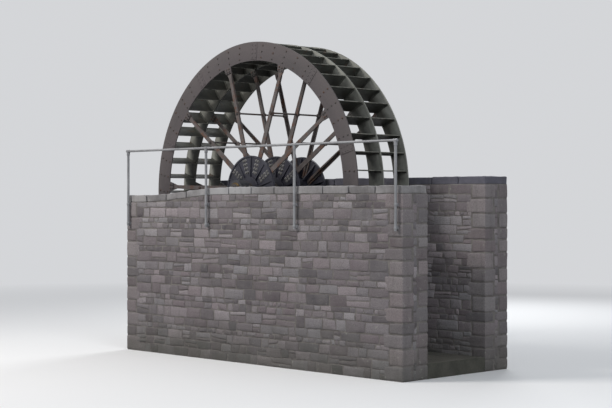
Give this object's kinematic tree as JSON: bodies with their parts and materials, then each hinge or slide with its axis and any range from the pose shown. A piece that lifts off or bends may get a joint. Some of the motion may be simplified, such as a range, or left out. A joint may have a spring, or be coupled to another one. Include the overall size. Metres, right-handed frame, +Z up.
{
  "type": "water wheel",
  "caption": "Iron water wheel with flat shroud rings, tapered arms and curved open-backed floats, turning in plain bearings on the walls of a stone pit.",
  "frame": {"origin": "middle of the footprint, on the underside of the pit floor and walls", "axes": "+Z up, +Y from the front wall to the back wall along the shaft, +X to the right as seen from the front"},
  "size_m": [7.25, 2.8039, 5.8699],
  "materials": {
    "wall_stone": "coursed rubble stone with lime mortar, weathered",
    "pale_coping": "pale cement-faced coping stone",
    "slate_coping": "blue-grey flagstone coping",
    "pit_stone": "damp stone paving",
    "bed_stone": "dressed gritstone block",
    "bearing_iron": "dark painted cast iron, greasy",
    "brass": "worn bearing brass",
    "rail_steel": "galvanised steel tube",
    "shaft_steel": "dark wrought iron with bright journals",
    "hub_iron": "blue-grey cast iron",
    "arm_iron": "wrought iron, grey with brown rust",
    "shroud_iron": "weathered grey-brown iron plate",
    "float_iron": "wrought iron plate, grey-green with rust"
  },
  "bodies": {
    "pit": {"front_wall": "wall_stone", "front_coping": "pale_coping", "back_wall": "wall_stone", "back_coping": "slate_coping", "pit_floor": "pit_stone", "bedstones": "bed_stone", "pedestal_front": "bearing_iron", "pedestal_back": "bearing_iron", "cap_front": "bearing_iron", "cap_back": "bearing_iron", "bearing_brasses": "brass", "guard_posts": "rail_steel", "guard_rail": "rail_steel"},
    "wheel": {"shaft": "shaft_steel", "hub_near": "hub_iron", "hub_middle": "hub_iron", "hub_far": "hub_iron", "arms_near": "arm_iron", "arms_middle": "arm_iron", "arms_far": "arm_iron", "shroud_near": "shroud_iron", "shroud_middle": "shroud_iron", "shroud_far": "shroud_iron", "tie_rods": "arm_iron", "floats_near_01": "float_iron", "floats_near_02": "float_iron", "floats_near_03": "float_iron", "floats_near_04": "float_iron", "floats_far_01": "float_iron", "floats_far_02": "float_iron", "floats_far_03": "float_iron", "floats_far_04": "float_iron"}
  },
  "joints": [
    {"name": "wheel_spin", "type": "hinge", "parent": "pit", "child": "wheel", "pos_m": [-0.775, 0.033, 3.12], "axis": [0, 1, 0], "continuous": true}
  ]
}
